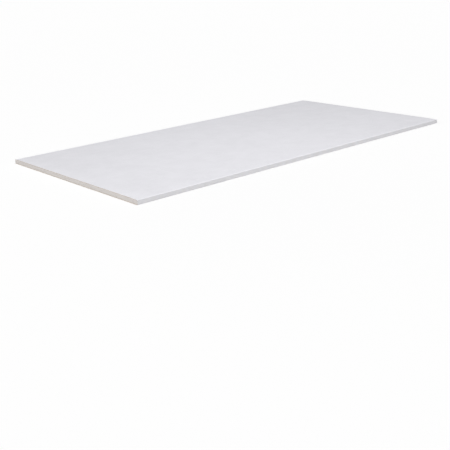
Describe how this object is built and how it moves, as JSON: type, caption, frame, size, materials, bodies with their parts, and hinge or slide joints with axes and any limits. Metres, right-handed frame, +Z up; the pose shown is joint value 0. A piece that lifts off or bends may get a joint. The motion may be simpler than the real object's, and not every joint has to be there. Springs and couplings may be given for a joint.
{
  "type": "drywall sheet",
  "caption": "Flat rectangular gypsum board for lining walls and ceilings, with paper-wrapped tapered long edges and square-cut ends, lying face up.",
  "frame": {"origin": "bottom centre of the sheet, on the plane that its back rests on", "axes": "+X along the sheet's length, +Y across its width, +Z up through its thickness, out of its face"},
  "size_m": [2.4, 1.2, 0.025],
  "materials": {
    "face_paper": "matte",
    "back_liner": "matte",
    "gypsum_core": "matte"
  },
  "bodies": {
    "root": {"drywall_sheet": "face_paper"}
  },
  "joints": []
}
